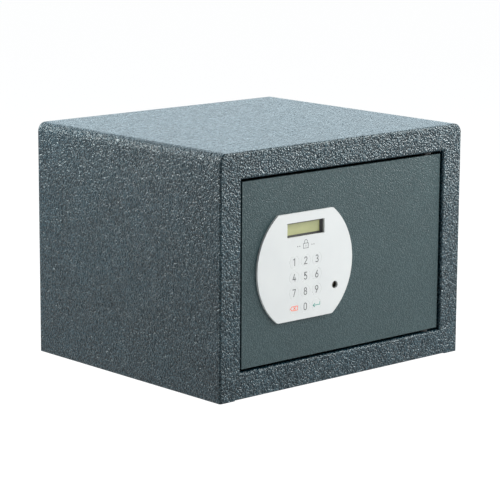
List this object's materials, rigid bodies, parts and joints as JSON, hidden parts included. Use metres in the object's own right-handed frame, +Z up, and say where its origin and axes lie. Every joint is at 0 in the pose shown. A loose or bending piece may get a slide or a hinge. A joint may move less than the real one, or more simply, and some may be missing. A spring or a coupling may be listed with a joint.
{
  "type": "in-room safe",
  "caption": "Small sheet steel room safe: folded cabinet with a recessed, motor-bolted door, round-ended keypad panel with display, and anchor holes in floor and rear.",
  "frame": {"origin": "centre of the footprint, on the plane of the floor plate's underside", "axes": "+X to the right seen from the front, +Y to the rear, +Z up"},
  "size_m": [0.35, 0.3, 0.255],
  "materials": {
    "cabinet_paint": "coarse hammer-texture powder coat, dark green-grey, semi-gloss",
    "door_paint": "fine-texture powder coat, dark green-grey, satin",
    "bush_brass": "machined",
    "spring_steel": "bright spring steel",
    "mat_felt": "needle felt",
    "zinc_plate": "zinc plated",
    "panel_plastic": "satin silver-white moulding with printed marks",
    "black_plastic": "fine spark-eroded moulding",
    "lcd": "reflective liquid crystal display, olive, unlit",
    "switch_grey": "moulded",
    "circuit_board": "solder mask over glass laminate",
    "motor_case": "drawn steel can",
    "nylon": "natural nylon",
    "cover_plastic": "textured moulding",
    "cell_sleeve": "printed sleeve with no lettering",
    "wire_red": "insulated wire"
  },
  "bodies": {
    "cabinet": {"front_frame": "cabinet_paint", "body_shell": "cabinet_paint", "floor_plate": "cabinet_paint", "rear_panel": "cabinet_paint", "strike_plate": "cabinet_paint", "hinge_bushes": "black_plastic", "door_spring": "spring_steel", "spring_rivets": "spring_steel", "floor_mat": "mat_felt"},
    "door": {"door_plate": "door_paint", "hinge_blocks": "zinc_plate", "hinge_pins": "spring_steel", "thrust_washer": "black_plastic", "keypad_panel": "panel_plastic", "panel_push_nuts": "spring_steel", "display_bezel": "black_plastic", "lcd_glass": "lcd", "lcd_connector": "switch_grey", "keypad_housing": "black_plastic", "housing_nuts": "zinc_plate", "keypad_board": "circuit_board", "key_switches": "switch_grey", "lock_body": "black_plastic", "lock_clip": "spring_steel", "bolt_guide": "zinc_plate", "gearmotor": "motor_case", "motor_bracket": "zinc_plate", "rack_guide": "nylon", "limit_switch": "black_plastic", "main_board": "circuit_board", "board_parts": "black_plastic", "inner_cover": "cover_plastic", "cover_posts": "zinc_plate", "cover_screws": "zinc_plate", "battery_holder": "black_plastic", "battery_contacts": "zinc_plate", "batteries": "cell_sleeve", "wire_harness": "wire_red"},
    "bolts": {"locking_bolts": "zinc_plate", "bolt_bar": "zinc_plate", "bolt_nuts": "spring_steel", "drive_rack": "zinc_plate"},
    "pinion": {"drive_pinion": "bush_brass"},
    "emergency_plug": {"lock_plug": "bush_brass", "lock_cam": "zinc_plate"},
    "battery_lid": {"battery_cover": "cover_plastic"},
    "key_1_body": {"key_1": "panel_plastic"},
    "key_2_body": {"key_2": "panel_plastic"},
    "key_3_body": {"key_3": "panel_plastic"},
    "key_4_body": {"key_4": "panel_plastic"},
    "key_5_body": {"key_5": "panel_plastic"},
    "key_6_body": {"key_6": "panel_plastic"},
    "key_7_body": {"key_7": "panel_plastic"},
    "key_8_body": {"key_8": "panel_plastic"},
    "key_9_body": {"key_9": "panel_plastic"},
    "key_clear_body": {"key_clear": "panel_plastic"},
    "key_0_body": {"key_0": "panel_plastic"},
    "key_enter_body": {"key_enter": "panel_plastic"}
  },
  "joints": [
    {"name": "door_hinge", "type": "hinge", "parent": "cabinet", "child": "door", "pos_m": [0.129, -0.1405, 0.1275], "axis": [0, 0, 1], "range_deg": [0, 105]},
    {"name": "bolt_slide", "type": "slide", "parent": "door", "child": "bolts", "axis": [-1, 0, 0], "range_m": [0, 0.015]},
    {"name": "pinion_turn", "type": "hinge", "parent": "door", "child": "pinion", "pos_m": [0.008, -0.115, 0.1374], "axis": [0, 1, 0], "range_deg": [-5, 130]},
    {"name": "emergency_turn", "type": "hinge", "parent": "door", "child": "emergency_plug", "pos_m": [-0.01525, -0.13, 0.10175], "axis": [0, 1, 0], "range_deg": [0, 90]},
    {"name": "battery_lid_off", "type": "slide", "parent": "door", "child": "battery_lid", "axis": [0, 1, 0], "range_m": [0, 0.03]},
    {"name": "key_1_press", "type": "slide", "parent": "door", "child": "key_1_body", "axis": [0, 1, 0], "range_m": [0, 0.0004], "stiffness_N_per_m": 2500},
    {"name": "key_2_press", "type": "slide", "parent": "door", "child": "key_2_body", "axis": [0, 1, 0], "range_m": [0, 0.0004], "stiffness_N_per_m": 2500},
    {"name": "key_3_press", "type": "slide", "parent": "door", "child": "key_3_body", "axis": [0, 1, 0], "range_m": [0, 0.0004], "stiffness_N_per_m": 2500},
    {"name": "key_4_press", "type": "slide", "parent": "door", "child": "key_4_body", "axis": [0, 1, 0], "range_m": [0, 0.0004], "stiffness_N_per_m": 2500},
    {"name": "key_5_press", "type": "slide", "parent": "door", "child": "key_5_body", "axis": [0, 1, 0], "range_m": [0, 0.0004], "stiffness_N_per_m": 2500},
    {"name": "key_6_press", "type": "slide", "parent": "door", "child": "key_6_body", "axis": [0, 1, 0], "range_m": [0, 0.0004], "stiffness_N_per_m": 2500},
    {"name": "key_7_press", "type": "slide", "parent": "door", "child": "key_7_body", "axis": [0, 1, 0], "range_m": [0, 0.0004], "stiffness_N_per_m": 2500},
    {"name": "key_8_press", "type": "slide", "parent": "door", "child": "key_8_body", "axis": [0, 1, 0], "range_m": [0, 0.0004], "stiffness_N_per_m": 2500},
    {"name": "key_9_press", "type": "slide", "parent": "door", "child": "key_9_body", "axis": [0, 1, 0], "range_m": [0, 0.0004], "stiffness_N_per_m": 2500},
    {"name": "key_clear_press", "type": "slide", "parent": "door", "child": "key_clear_body", "axis": [0, 1, 0], "range_m": [0, 0.0004], "stiffness_N_per_m": 2500},
    {"name": "key_0_press", "type": "slide", "parent": "door", "child": "key_0_body", "axis": [0, 1, 0], "range_m": [0, 0.0004], "stiffness_N_per_m": 2500},
    {"name": "key_enter_press", "type": "slide", "parent": "door", "child": "key_enter_body", "axis": [0, 1, 0], "range_m": [0, 0.0004], "stiffness_N_per_m": 2500}
  ],
  "couplings": [
    {"joint": "pinion_turn", "follows": "bolt_slide", "rad_per_m": 138.89}
  ]
}
